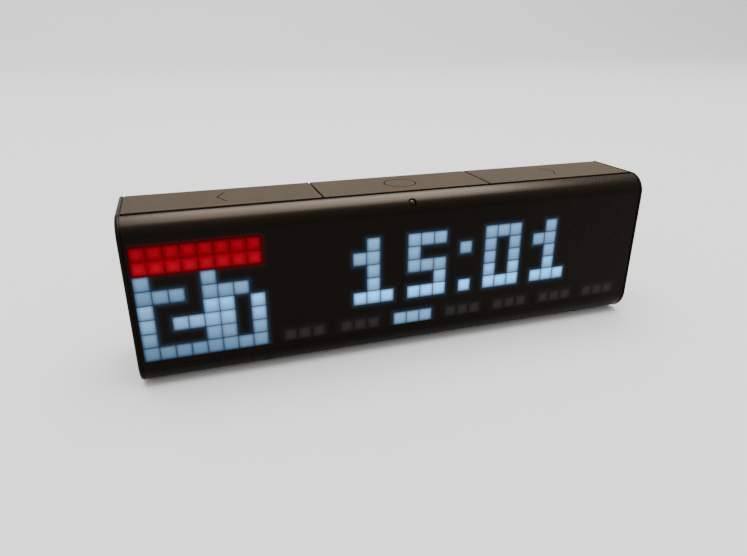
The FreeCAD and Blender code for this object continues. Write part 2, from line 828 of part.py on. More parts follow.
def make_key_switches():
    finish(gather("key_switch_group", [
        tact_switch("key_switch_" + label, (centre, "key_centre_y", KEY_BOARD_TOP), "+Z")
        for label, centre in KEY_CENTRES.items()]), "key_switches")


def make_side_button(label, side, height):
    """A round button, flush with its end cap, with a flange that holds it in."""
    sign = "-" if side < 0 else ""
    letter = "-X" if side < 0 else "+X"
    flange = rod(label + "_flange", (sign + "button_inner", "button_y", height), letter,
                 "button_flange", "button_flange_width")
    shaft = rod(label + "_shaft", (sign + "button_inner", "button_y", height), letter,
                "button_radius", HALF + " - button_inner")
    finish(fuse(label + "_turned", [flange, shaft]), label)


def make_side_board(label, side, heights):
    """A small board on the end cap's posts, with its switches facing the buttons."""
    sign = "-" if side < 0 else ""
    low = "-side_board_x" if side < 0 else "side_board_x - side_board_thickness"
    board = box(label + "_blank",
                (low, "button_y - side_board_width / 2", "power_z - side_board_height / 2"),
                ("side_board_thickness", "side_board_width", "side_board_height"))
    holes = [rod("%s_hole_%s" % (label, name),
                 (low + " - overcut", "button_y", "power_z %s side_post_reach" % way),
                 "+X", "side_board_hole", "side_board_thickness + 2 * overcut")
             for name, way in (("low", "-"), ("high", "+"))]
    finish(cut(label + "_drilled", board, holes), label)
    letter = "-X" if side < 0 else "+X"
    kind = label.replace("board", "switches") if len(heights) > 1 else label.replace("board", "switch")
    finish(gather(kind + "_group", [
        tact_switch("%s_%d" % (kind, index), (sign + "side_board_x", "button_y", up), letter)
        for index, up in enumerate(heights)]), kind)


# ---- pixel matrix ----

def make_light_grid():
    """A frame of light wells, one to a pixel, with a rail above and below for the stake pins."""
    body = new_body("well_frame")
    plate = new_sketch(body, "grid_plate", "XZ_Plane", "-grid_front")
    rectangle(plate, ("-" + GRID_HALF, GRID_LOW + " - rail"), (GRID_HALF, GRID_HIGH + " + rail"))
    pad(body, plate, "grid_depth", True)
    pins = new_sketch(body, "grid_pin_holes", "XZ_Plane", "-grid_front")
    circles(pins, PIN_PLACES, "pin_hole")
    pocket(body, pins, "grid_depth", False)
    well = new_sketch(body, "light_well", "XZ_Plane", "-grid_front")
    rectangle(well, ("-%s + grid_wall" % GRID_HALF, GRID_LOW + " + grid_wall"),
              ("-%s + pitch_x" % GRID_HALF, GRID_LOW + " + pitch_z"))
    cutting = pocket(body, well, "grid_depth", False)
    repeat = body.newObject("PartDesign::MultiTransform", "light_wells")
    repeat.Originals = [cutting]
    body.Tip = repeat
    across = DOC.addObject("PartDesign::LinearPattern", "wells_across")
    across.Direction = (well, ["H_Axis"])
    bind(across, "Length", "pitch_x * (columns - 1)")
    across.Occurrences = int(SIZES["columns"])
    upward = DOC.addObject("PartDesign::LinearPattern", "wells_upward")
    upward.Direction = (well, ["V_Axis"])
    bind(upward, "Length", "pitch_z * (rows - 1)")
    upward.Occurrences = int(SIZES["rows"])
    repeat.Transformations = [across, upward]
    finish(body, "light_grid")


def make_led_board():
    body = new_body("led_circuit")
    plan = new_sketch(body, "led_board_plan", "XZ_Plane", "-" + GRID_BACK)
    rectangle(plan, ("-" + GRID_HALF, GRID_LOW + " - rail"), (GRID_HALF, GRID_HIGH + " + rail"))
    pad(body, plan, "led_board_thickness", True)
    pins = new_sketch(body, "led_board_holes", "XZ_Plane", "-" + GRID_BACK)
    circles(pins, PIN_PLACES, "pin_hole")
    pocket(body, pins, "led_board_thickness", False)
    finish(body, "led_board")


def make_leds(label, first, last):
    """The LED packages of a range of columns, one in each light well, as separate solids."""
    size = SIZES["led_side"]
    depth = SIZES["led_height"]
    back = number(GRID_BACK)
    middle = (SIZES["columns"] - 1) / 2
    solids = []
    for column in range(first, last):
        for level in range(int(SIZES["rows"])):
            corner = VEC((column - middle) * SIZES["pitch_x"] - size / 2, back - depth,
                         SIZES["lowest_row"] + level * SIZES["pitch_z"] - size / 2)
            solids.append(Part.makeBox(size, depth, size, corner))
    packages = DOC.addObject("Part::Feature", label + "_packages")
    packages.Shape = Part.makeCompound(solids)
    finish(packages, label)


def make_diffuser():
    finish(box("diffuser_blank", ("-" + GRID_HALF, "sheet_front", GRID_LOW),
               ("2 * " + GRID_HALF, "sheet_thickness", GRID_HIGH + " - " + GRID_LOW)), "diffuser_sheet")


# ---- main board ----

def make_main_board():
    body = new_body("main_circuit")
    plan = new_sketch(body, "main_board_plan", "XY_Plane", "board_low")
    rectangle(plan, ("-board_half", "board_front"), ("board_half", "board_back"))
    pad(body, plan, "board_thickness")
    holes = new_sketch(body, "main_board_holes", "XY_Plane", BOARD_TOP)
    circles(holes, [(across, along) for across in ("-board_screw_x", "board_screw_x")
                    for along in ("board_screw_front", "board_screw_back")], "screw_hole")
    pocket(body, holes, "board_thickness")
    finish(body, "main_board")


def make_radio():
    """A radio module: a small board on the main board, with a pressed shield can over its chips."""
    low = ("module_x", "module_y", BOARD_TOP)
    finish(box("radio_blank", low, ("module_length", "module_width", "module_thickness")), "radio_module")
    can_low = ("module_x + module_length - shield_length - shield_inset_x", "module_y + shield_inset_y",
               BOARD_TOP + " + module_thickness")
    outer = box("can_outer", can_low, ("shield_length", "shield_width", "shield_height"))
    inner = box("can_inner",
                (can_low[0] + " + usb_wall", can_low[1] + " + usb_wall", can_low[2] + " - overcut"),
                ("shield_length - 2 * usb_wall", "shield_width - 2 * usb_wall",
                 "shield_height + overcut - usb_wall"))
    finish(cut("can_pressed", outer, [inner]), "radio_shield")


def make_board_parts():
    """Chips on the main board, and the sockets that its ribbons and leads go into."""
    finish(gather("chip_group", [
        box(name + "_chip", (x, y, BOARD_TOP), (wide, deep, tall))
        for name, (x, y, wide, deep, tall) in CHIPS.items()]), "board_chips")
    finish(gather("socket_group", [
        box(name + "_socket", (x, y, BOARD_TOP), (wide, deep, tall))
        for name, (x, y, wide, deep, tall) in SOCKETS.items()]), "board_connectors")


def make_usb_socket():
    front = "usb_mouth - usb_depth"
    low = ("-usb_width / 2", front, BOARD_TOP)
    outer = box("usb_outer", low, ("usb_width", "usb_depth", "usb_height"))
    inner = box("usb_inner",
                ("-usb_width / 2 + usb_wall", front + " + usb_wall", BOARD_TOP + " + usb_wall"),
                ("usb_width - 2 * usb_wall", "usb_depth", "usb_height - 2 * usb_wall"))
    finish(cut("usb_pressed", outer, [inner]), "usb_socket")
    tongue = box("usb_tongue_blank",
                 ("-usb_width / 2 + usb_tongue_inset", front + " + usb_wall",
                  BOARD_TOP + " + usb_height / 2"),
                 ("usb_width - 2 * usb_tongue_inset", "usb_depth - usb_tongue_short", "usb_tongue_height"))
    finish(tongue, "usb_tongue")


def strip(label, plane, offset, corners, width):
    """A thin ribbon: its bent edge line, drawn as an outline, padded by its width."""
    body = new_body(label + "_strip")
    edge = new_sketch(body, label + "_edge", plane, offset)
    outline(edge, corners)
    pad(body, edge, width)
    finish(body, label)


def make_ribbons():
    """The pixel matrix's ribbon, low at the front, and the keys' ribbon, up through the deck."""
    thick = "ribbon_thickness"
    back = "(%s + led_board_thickness)" % GRID_BACK
    floor = "(%s + matrix_ribbon_lift)" % BOARD_TOP
    strip("matrix_ribbon", "YZ_Plane", "ribbon_x", [
        (back, "matrix_ribbon_top"),
        (back + " + " + thick, "matrix_ribbon_top"),
        (back + " + " + thick, "%s + %s" % (floor, thick)),
        ("matrix_ribbon_y", "%s + %s" % (floor, thick)),
        ("matrix_ribbon_y", floor),
        (back, floor),
    ], "ribbon_width")
    rise = "(slot_front + slot_back - %s) / 2" % thick
    end = "key_board_back - socket_margin"
    strip("key_ribbon", "YZ_Plane", "ribbon_x + 2 * slot_margin", [
        ("key_ribbon_y", BOARD_TOP + " + socket_height"),
        ("key_ribbon_y + " + thick, BOARD_TOP + " + socket_height"),
        ("key_ribbon_y + " + thick, "key_ribbon_bend + " + thick),
        (rise + " + " + thick, "key_ribbon_turn + " + thick),
        (rise + " + " + thick, "%s + %s" % (KEY_BOARD_TOP, thick)),
        (end, "%s + %s" % (KEY_BOARD_TOP, thick)),
        (end, KEY_BOARD_TOP),
        (rise, KEY_BOARD_TOP),
        (rise, "key_ribbon_turn"),
        ("key_ribbon_y", "key_ribbon_bend"),
    ], "ribbon_width - slot_margin")


# ---- speakers ----

def speaker_placement(thing, side):
    """Sets a piece drawn about its own Y axis square to the sloping back, at a speaker's place."""
    slope = math.degrees(math.atan2(SIZES["back_corner"] - SIZES["top_depth"], SIZES["body_height"]))
    thing.Placement = FreeCAD.Placement(VEC(), FreeCAD.Rotation(VEC(1, 0, 0), slope))
    sign = "-" if side < 0 else ""
    bind(thing, "Placement.Base.x", sign + "speaker_x")
    bind(thing, "Placement.Base.y", back_at("speaker_z", "cap_proud + wall + gasket + gasket_crush"))
    bind(thing, "Placement.Base.z", "speaker_z")


def turned(name, corners):
    """A solid of revolution about Y; corners are pairs of radius and distance along the axis."""
    body = new_body(name)
    section = new_sketch(body, name + "_section", "XY_Plane")
    outline(section, corners)
    feature = body.newObject("PartDesign::Revolution", name + "_turn")
    feature.Profile = section
    feature.ReferenceAxis = (section, ["V_Axis"])
    feature.Angle = 360
    body.Tip = feature
    return body


def make_speaker(side_name, side):
    """A small round speaker: pressed frame, cone, magnet and a foam ring against the grille."""
    pieces = {
        "speaker_frame": [
            ("speaker_hole", "0"),
            ("speaker_radius", "0"),
            ("speaker_radius", "-flange"),
            ("speaker_hole + basket_lip", "-flange"),
            ("basket_radius", "-basket_depth"),
            ("basket_eye", "-basket_depth"),
            ("basket_eye", "-basket_depth + basket_wall"),
            ("basket_radius - basket_wall / 2", "-basket_depth + basket_wall"),
            ("speaker_hole - basket_wall / 2", "-flange + basket_wall / 2"),
        ],
        "speaker_cone": [
            ("0", "dome_crest - cone_wall"),
            ("0", "dome_crest"),
            ("dome_radius - cone_wall", "dome_crest - cone_wall / 2"),
            ("dome_radius", "dome_foot"),
            ("speaker_hole - roll", "-roll_drop"),
            ("speaker_hole - basket_wall", "-roll_drop"),
            ("speaker_hole - basket_wall", "-roll_drop - cone_wall / 2"),
            ("speaker_hole - roll", "-roll_drop - cone_wall / 2"),
            ("dome_radius", "dome_foot - cone_wall"),
            ("dome_radius - cone_wall", "dome_crest - 3 * cone_wall / 2"),
        ],
        "speaker_magnet": [
            ("0", "-basket_depth - magnet_depth"),
            ("magnet_radius", "-basket_depth - magnet_depth"),
            ("magnet_radius", "-basket_depth"),
            ("0", "-basket_depth"),
        ],
        "speaker_gasket": [
            ("speaker_hole + basket_lip", "0"),
            ("speaker_radius", "0"),
            ("speaker_radius", "gasket"),
            ("speaker_hole + basket_lip", "gasket"),
        ],
    }
    for name, corners in pieces.items():
        body = turned("%s_%s_body" % (side_name, name), corners)
        speaker_placement(body, side)
        finish(body, "%s_%s" % (side_name, name))


# ---- sensor, screws, foot and label ----

def make_sensor():
    """A clear window in the round edge, with a sensor chip on a small board behind it."""
    core = "(top_round - cap_proud - face_wall)"
    blank = edge_rod("window_blank", core, "top_round - lens_recess", "lens_radius")
    window = DOC.addObject("Part::Fillet", "window")
    window.Base = blank
    DOC.recompute()
    crown = SIZES["lens_crown"]
    window.Edges = [(index, crown, crown) for index, edge in enumerate(blank.Shape.Edges, start=1)
                    if len(edge.Vertexes) == 1 and edge.CenterOfMass.z > blank.Shape.CenterOfMass.z]
    finish(window, "sensor_window")
    chip_top = core + " - sensor_gap"
    chip_low = chip_top + " - sensor_height"
    finish(gather("sensor_group", [edge_block(
        "sensor_chip", chip_low, chip_top, "sensor_side", "sensor_side")]), "light_sensor")
    finish(gather("sensor_board_group", [edge_block(
        "sensor_blank", chip_low + " - sensor_board_thickness", chip_low, "sensor_board_length",
        "sensor_board_side")]), "sensor_board")


def screw(name, seat, axis, length):
    """A screw with a round head and a socket; seat is the middle of the face under its head, and
    axis points from there to the head."""
    letter = axis[1].lower()
    step = "+" if axis[0] == "+" else "-"
    place = dict(zip("xyz", seat))
    drive_base = dict(place)
    drive_base[letter] = "(%s) %s (head_height - drive_depth)" % (place[letter], step)
    start = dict(place)
    start[letter] = "(%s) %s (%s)" % (place[letter], "-" if step == "+" else "+", length)
    head = rod(name + "_head", tuple(place.values()), axis, "screw_head", "head_height")
    shank = rod(name + "_shank", tuple(start.values()), axis, "screw_radius", "%s + join" % length)
    drive = rod(name + "_drive", tuple(drive_base.values()), axis, "drive_radius", "drive_depth + join")
    return cut(name, fuse(name + "_blank", [head, shank]), [drive])


def make_screws():
    finish(gather("case_screw_group", [
        screw("case_screw_%d" % index, (across, "seat_y", "post_z"), "+Y", "screw_length")
        for index, across in enumerate(CASE_SCREWS)]), "case_screws")
    finish(gather("board_screw_group", [
        screw("board_screw_%s_%s" % (side, row), ("%s board_screw_x" % sign, along, BOARD_TOP), "+Z",
              "board_screw_length")
        for side, sign in (("left", "-"), ("right", ""))
        for row, along in (("front", "board_screw_front"), ("back", "board_screw_back"))]), "board_screws")
    finish(gather("frame_screw_group", [
        screw("frame_screw_%d" % index, (across, "deck_screw_y", DECK_TOP), "+Z", "frame_screw_length")
        for index, across in enumerate(DECK_SCREWS)]), "frame_screws")
    side_screws = []
    for side, sign, axis in (("left", "-", "+X"), ("right", "", "-X")):
        seat = "-side_board_x + side_board_thickness" if sign else "side_board_x - side_board_thickness"
        for row, way in (("low", "-"), ("high", "+")):
            side_screws.append(screw("side_screw_%s_%s" % (side, row), (
                seat, "button_y", "power_z %s side_post_reach" % way), axis, "side_screw_length"))
    finish(gather("side_screw_group", side_screws), "side_board_screws")


def make_foot():
    body = new_body("foot_pad")
    plan = new_sketch(body, "foot_plan", "XY_Plane", "-foot_proud")
    rectangle(plan, ("-foot_half", "foot_front"), ("foot_half", "foot_back"))
    pad(body, plan, "foot_proud + cap_proud")
    low = number("-foot_proud")
    round_edges(body, "foot_edges", "foot_edge", lambda edge, middle: abs(middle.z - low) < TOUCH)
    finish(body, "rubber_foot")


def make_label():
    finish(box("label_blank", ("label_start", "label_front", "cap_proud - label_thickness"),
               ("label_end - label_start", "label_back - label_front", "label_thickness")), "rating_label")


def build():
    make_front_shell()
    make_rear_shell()
    make_end_cap("left_end_cap", -1, ("volume_up_z", "volume_down_z"))
    make_end_cap("right_end_cap", 1, ("power_z",))
    end = SHELL_END
    make_key("left_key", "-(%s)" % end, "%s - key_gap / 2" % LEFT_SPLIT)
    make_key("action_key", "%s + key_gap / 2" % LEFT_SPLIT, "%s - key_gap / 2" % RIGHT_SPLIT)
    make_key("right_key", "%s + key_gap / 2" % RIGHT_SPLIT, end)
    make_key_frame()
    make_key_board()
    make_key_switches()
    make_side_button("volume_up_button", -1, "volume_up_z")
    make_side_button("volume_down_button", -1, "volume_down_z")
    make_side_button("power_button", 1, "power_z")
    make_side_board("volume_board", -1, ("volume_up_z", "volume_down_z"))
    make_side_board("power_board", 1, ("power_z",))
    make_light_grid()
    make_led_board()
    make_leds("icon_leds", 0, int(SIZES["icon_columns"]))
    make_leds("time_leds", int(SIZES["icon_columns"]), int(SIZES["columns"]))
    make_diffuser()
    make_main_board()
    make_radio()
    make_board_parts()
    make_usb_socket()
    make_ribbons()
    make_speaker("left", -1)
    make_speaker("right", 1)
    make_sensor()
    make_screws()
    make_foot()
    make_label()


def check():
    """Stops when an object of the document failed or a sub-part's shape isn't sound."""
    DOC.recompute()
    for thing in DOC.Objects:
        if "Invalid" in thing.State or "Error" in thing.State:
            raise RuntimeError("%s is %s" % (thing.Name, thing.State))
    for piece in PIECES:
        if piece.Shape.isNull() or not piece.Shape.isValid() or not piece.Shape.Solids:
            raise RuntimeError("%s has no sound shape" % piece.Label)


def write():
    os.makedirs("parts", exist_ok=True)
    for piece in PIECES:
        piece.Shape.exportStep(os.path.join("parts", piece.Label + ".step"))


build()
check()
write()
print("%d sub-parts written" % len(PIECES))
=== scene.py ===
import bpy
import bmesh
import json
import math
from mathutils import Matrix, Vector


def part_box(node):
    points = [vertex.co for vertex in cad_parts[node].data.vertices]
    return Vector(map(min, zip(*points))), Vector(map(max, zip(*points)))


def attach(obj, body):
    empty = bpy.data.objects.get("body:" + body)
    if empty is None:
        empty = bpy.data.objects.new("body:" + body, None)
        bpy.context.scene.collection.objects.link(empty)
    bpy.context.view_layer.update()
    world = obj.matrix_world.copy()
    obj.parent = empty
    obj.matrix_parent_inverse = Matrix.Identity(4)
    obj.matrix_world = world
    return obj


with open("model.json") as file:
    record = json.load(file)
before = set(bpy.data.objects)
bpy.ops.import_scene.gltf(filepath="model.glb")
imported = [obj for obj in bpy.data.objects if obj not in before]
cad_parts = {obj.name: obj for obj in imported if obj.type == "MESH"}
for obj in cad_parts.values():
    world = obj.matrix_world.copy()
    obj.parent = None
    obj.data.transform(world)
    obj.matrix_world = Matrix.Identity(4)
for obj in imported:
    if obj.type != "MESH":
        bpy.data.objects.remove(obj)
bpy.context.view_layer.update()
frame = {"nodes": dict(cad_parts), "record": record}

# Lengths are in metres, in the row frame: X to the viewer's right, Y to the back, Z up.
MM = 0.001

# ---- the picture on the matrix ----
COLUMNS = 37
ROWS = 8
PITCH_X = 5.298 * MM
PITCH_Z = 5.19 * MM
LIGHT_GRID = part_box("light_grid")
GRID_MIDDLE = (LIGHT_GRID[0] + LIGHT_GRID[1]) / 2

# R red, W white, a dot for a dark well; the calendar page with its day number
ICON = (
    "RRRRRRRR",
    "RRRRRRRR",
    "W...W...",
    "WWW.WWW.",
    "W...WW.W",
    "W.WWWW.W",
    "W...WW.W",
    "WWWWWWWW",
)
DIGITS = {
    "0": ("###", "#.#", "#.#", "#.#", "###"),
    "1": (".#.", "##.", ".#.", ".#.", "###"),
    "5": ("###", "#..", "###", "..#", "###"),
    ":": (".", "#", ".", ".", "#"),
}
TIME = "15:01"
TIME_COLUMN = 14
TIME_ROW = 1
WEEKDAYS = 7
WEEKDAY_COLUMN = 9
WEEKDAY_WIDTH = 3
TODAY = 2


def picture():
    """Every lit well, as (column, row) to the name of its light."""
    wells = {}
    for row, line in enumerate(ICON):
        for column, sign in enumerate(line):
            if sign != ".":
                wells[column, row] = "red" if sign == "R" else "white"
    column = TIME_COLUMN
    for sign in TIME:
        shape = DIGITS[sign]
        for row, line in enumerate(shape):
            for step, mark in enumerate(line):
                if mark == "#":
                    wells[column + step, TIME_ROW + row] = "white"
        column += len(shape[0]) + 1
    for day in range(WEEKDAYS):
        for step in range(WEEKDAY_WIDTH):
            place = WEEKDAY_COLUMN + day * (WEEKDAY_WIDTH + 1) + step
            wells[place, ROWS - 1] = "white" if day == TODAY else "dim"
    return wells


def well_centre(column, row):
    return (
        GRID_MIDDLE.x + (column - (COLUMNS - 1) / 2) * PITCH_X,
        GRID_MIDDLE.z + ((ROWS - 1) / 2 - row) * PITCH_Z,
    )


# ---- material helpers ----

class Nodes:
    """A material's node tree with one Principled shader, and short ways to add to it."""

    def __init__(self, name, colour, roughness, metallic=0.0, specular=0.5, tint=(1.0, 1.0, 1.0)):
        self.material = bpy.data.materials.new(name)
        self.material.use_nodes = True
        self.tree = self.material.node_tree
        self.shader = self.tree.nodes["Principled BSDF"]
        self.shader.inputs["Base Color"].default_value = (*colour, 1)
        self.shader.inputs["Roughness"].default_value = roughness
        self.shader.inputs["Metallic"].default_value = metallic
        self.shader.inputs["Specular IOR Level"].default_value = specular
        self.shader.inputs["Specular Tint"].default_value = (*tint, 1)
        self.place = self.add("ShaderNodeTexCoord").outputs["Object"]

    def add(self, kind, **settings):
        node = self.tree.nodes.new(kind)
        for key, value in settings.items():
            setattr(node, key, value)
        return node

    def link(self, source, target):
        self.tree.links.new(source, target)

    def noise(self, scale, detail=3.0, roughness=0.5, stretch=(1, 1, 1), distortion=0.0):
        mapping = self.add("ShaderNodeMapping")
        mapping.inputs["Scale"].default_value = stretch
        self.link(self.place, mapping.inputs["Vector"])
        noise = self.add("ShaderNodeTexNoise")
        noise.inputs["Scale"].default_value = scale
        noise.inputs["Detail"].default_value = detail
        noise.inputs["Roughness"].default_value = roughness
        noise.inputs["Distortion"].default_value = distortion
        self.link(mapping.outputs["Vector"], noise.inputs["Vector"])
        return noise.outputs["Fac"]

    def voronoi(self, scale):
        cells = self.add("ShaderNodeTexVoronoi")
        cells.inputs["Scale"].default_value = scale
        self.link(self.place, cells.inputs["Vector"])
        return cells.outputs["Distance"]

    def spread(self, value, low, high, to_low=0.0, to_high=1.0):
        """Stretches a value from one range to another, and clamps it."""
        ranged = self.add("ShaderNodeMapRange")
        self.link(value, ranged.inputs["Value"])
        for key, number in (("From Min", low), ("From Max", high), ("To Min", to_low), ("To Max", to_high)):
            ranged.inputs[key].default_value = number
        return ranged.outputs["Result"]

    def maths(self, operation, first, second):
        node = self.add("ShaderNodeMath", operation=operation)
        for socket, value in zip(node.inputs, (first, second)):
            if isinstance(value, (int, float)):
                socket.default_value = value
            else:
                self.link(value, socket)
        return node.outputs[0]

    def mix(self, factor, first, second):
        node = self.add("ShaderNodeMix", data_type="RGBA")
        sockets = (node.inputs["Factor"], node.inputs[6], node.inputs[7])
        for socket, value in zip(sockets, (factor, first, second)):
            if isinstance(value, tuple):
                socket.default_value = (*value, 1)
            elif isinstance(value, (int, float)):
                socket.default_value = value
            else:
                self.link(value, socket)
        return node.outputs[2]

    def ramp(self, value, stops):
        """A colour that follows a value: stops are (value, colour) pairs in rising order."""
        node = self.add("ShaderNodeValToRGB")
        band = node.color_ramp.elements
        while len(band) < len(stops):
            band.new(0.5)
        for element, (place, colour) in zip(band, stops):
            element.position = place
            element.color = (*colour, 1)
        self.link(value, node.inputs["Fac"])
        return node.outputs["Color"]

    def bump(self, height, distance, strength=1.0, under=None):
        node = self.add("ShaderNodeBump")
        node.inputs["Strength"].default_value = strength
        node.inputs["Distance"].default_value = distance
        self.link(height, node.inputs["Height"])
        if under is not None:
            self.link(under, node.inputs["Normal"])
        return node.outputs["Normal"]

    def upward(self):
        """1 on faces that look up, 0 on the others."""
        split = self.add("ShaderNodeSeparateXYZ")
        self.link(self.add("ShaderNodeNewGeometry").outputs["Normal"], split.inputs[0])
        return self.spread(split.outputs["Z"], 0.55, 0.95)

    def set(self, socket, value):
        self.link(value, self.shader.inputs[socket])


def plastic_nodes(name, colour, roughness, specular=0.5, grain=1600.0, depth=0.004 * MM, dust=0.0,
                  mottle=0.12, smear=0.06, tint=(1.0, 1.0, 1.0)):
    """Injection-moulded plastic with a fine spark texture, handling smears and a little settled dust."""
    nodes = Nodes(name, colour, roughness, specular=specular, tint=tint)
    cloud = nodes.noise(28.0, detail=4.0)
    fine = nodes.noise(grain, detail=2.0, roughness=0.6)
    lighter = tuple(min(1.0, part * (1 + mottle)) for part in colour)
    darker = tuple(part * (1 - mottle) for part in colour)
    base = nodes.mix(nodes.spread(cloud, 0.35, 0.65), darker, lighter)
    if dust:
        specks = nodes.spread(nodes.noise(900.0, detail=1.0), 0.68, 0.78)
        settled = nodes.maths("MULTIPLY", nodes.upward(), specks)
        base = nodes.mix(nodes.maths("MULTIPLY", settled, dust), base, (0.32, 0.30, 0.27))
    nodes.set("Base Color", base)
    patches = nodes.noise(9.0, detail=5.0, roughness=0.6, stretch=(1, 1, 1.6), distortion=0.4)
    nodes.set("Roughness", nodes.maths(
        "ADD", nodes.spread(patches, 0.3, 0.7, roughness - smear, roughness + smear),
        nodes.spread(fine, 0.3, 0.7, -0.03, 0.03)))
    nodes.set("Normal", nodes.bump(fine, depth))
    return nodes


def moulded_plastic(name, colour, roughness, **settings):
    return plastic_nodes(name, colour, roughness, **settings).material


def brushed_metal(name, colour, roughness, stretch=(1, 1, 14), scale=600.0):
    nodes = Nodes(name, colour, roughness, metallic=1.0)
    strokes = nodes.noise(scale, detail=3.0, stretch=stretch)
    stains = nodes.noise(60.0, detail=4.0)
    darker = tuple(part * 0.72 for part in colour)
    nodes.set("Base Color", nodes.mix(nodes.spread(stains, 0.4, 0.7), colour, darker))
    nodes.set("Roughness", nodes.spread(strokes, 0.3, 0.7, roughness - 0.1, roughness + 0.12))
    nodes.set("Normal", nodes.bump(strokes, 0.006 * MM))
    return nodes.material


def rubber(name, colour):
    """Matt rubber: fine pimples, chalky patches and dust in its pores."""
    nodes = Nodes(name, colour, 0.85, specular=0.3)
    pimples = nodes.voronoi(1400.0)
    chalk = nodes.noise(40.0, detail=5.0)
    chalky = (0.075, 0.073, 0.07)
    nodes.set("Base Color", nodes.mix(nodes.spread(chalk, 0.45, 0.75, 0.0, 0.6), colour, chalky))
    nodes.set("Roughness", nodes.spread(chalk, 0.3, 0.7, 0.78, 0.94))
    nodes.set("Normal", nodes.bump(pimples, 0.02 * MM))
    return nodes.material


def circuit_board(name):
    """Green solder mask over copper tracks, with a faint weave below."""
    nodes = Nodes(name, (0.01, 0.09, 0.045), 0.35)
    brick = nodes.add("ShaderNodeTexBrick")
    brick.inputs["Scale"].default_value = 260.0
    brick.inputs["Mortar Size"].default_value = 0.05
    brick.inputs["Color1"].default_value = (0, 0, 0, 1)
    brick.inputs["Color2"].default_value = (0.25, 0.25, 0.25, 1)
    brick.inputs["Mortar"].default_value = (1, 1, 1, 1)
    nodes.link(nodes.place, brick.inputs["Vector"])
    tracks = brick.outputs["Color"]
    nodes.set("Base Color", nodes.mix(tracks, (0.008, 0.075, 0.036), (0.02, 0.16, 0.07)))
    nodes.set("Roughness", nodes.spread(nodes.noise(300.0), 0.3, 0.7, 0.28, 0.45))
    nodes.set("Normal", nodes.bump(tracks, 0.02 * MM))
    return nodes.material


def ceramic_magnet(name):
    nodes = Nodes(name, (0.09, 0.09, 0.095), 0.55, metallic=0.4)
    pits = nodes.noise(420.0, detail=4.0)
    nodes.set("Base Color", nodes.mix(
        nodes.spread(pits, 0.4, 0.65), (0.06, 0.06, 0.065), (0.14, 0.14, 0.145)))
    nodes.set("Roughness", nodes.spread(pits, 0.3, 0.7, 0.42, 0.66))
    nodes.set("Normal", nodes.bump(pits, 0.03 * MM))
    return nodes.material


def clear_lens(name):
    """The sensor's window: dark clear plastic with faint moulding ripples."""
    nodes = Nodes(name, (0.006, 0.005, 0.005), 0.28, specular=0.06, tint=(1.0, 0.9, 0.82))
    ripples = nodes.noise(500.0, detail=2.0)
    nodes.set("Base Color", nodes.mix(
        nodes.spread(ripples, 0.4, 0.7), (0.004, 0.0035, 0.003), (0.008, 0.007, 0.006)))
    nodes.set("Roughness", nodes.spread(ripples, 0.3, 0.7, 0.24, 0.34))
    nodes.set("Normal", nodes.bump(ripples, 0.004 * MM))
    return nodes.material


FACE = {
    "colour": (0.0023, 0.0017, 0.0012),
    "roughness": 0.28,
    "specular": 0.05,
    "tint": (1.0, 0.88, 0.76),
    "grain": 2600.0,
    "depth": 0.0015 * MM,
    "mottle": 0.1,
    "smear": 0.04,
}


# the same face where strong light passes it: its own shine hardly shows there
LIT_FACE = dict(FACE, colour=(0.0006, 0.0004, 0.0003), specular=0.012)


def light_material(name, stops, strength, surface):
    """Light that shines through the smoked face. The mesh's own 'light' values say how bright each
    point is, and the colour follows them: dim light is tinted, and full light is paler."""
    nodes = plastic_nodes(name, **surface)
    value = nodes.add("ShaderNodeAttribute", attribute_name="light").outputs["Fac"]
    frosting = nodes.spread(nodes.noise(1100.0, detail=2.0), 0.3, 0.7, 0.985, 1.015)
    nodes.set("Emission Color", nodes.ramp(nodes.maths("MULTIPLY", value, frosting), stops))
    nodes.shader.inputs["Emission Strength"].default_value = strength
    return nodes.material


# ---- materials of the CAD nodes ----

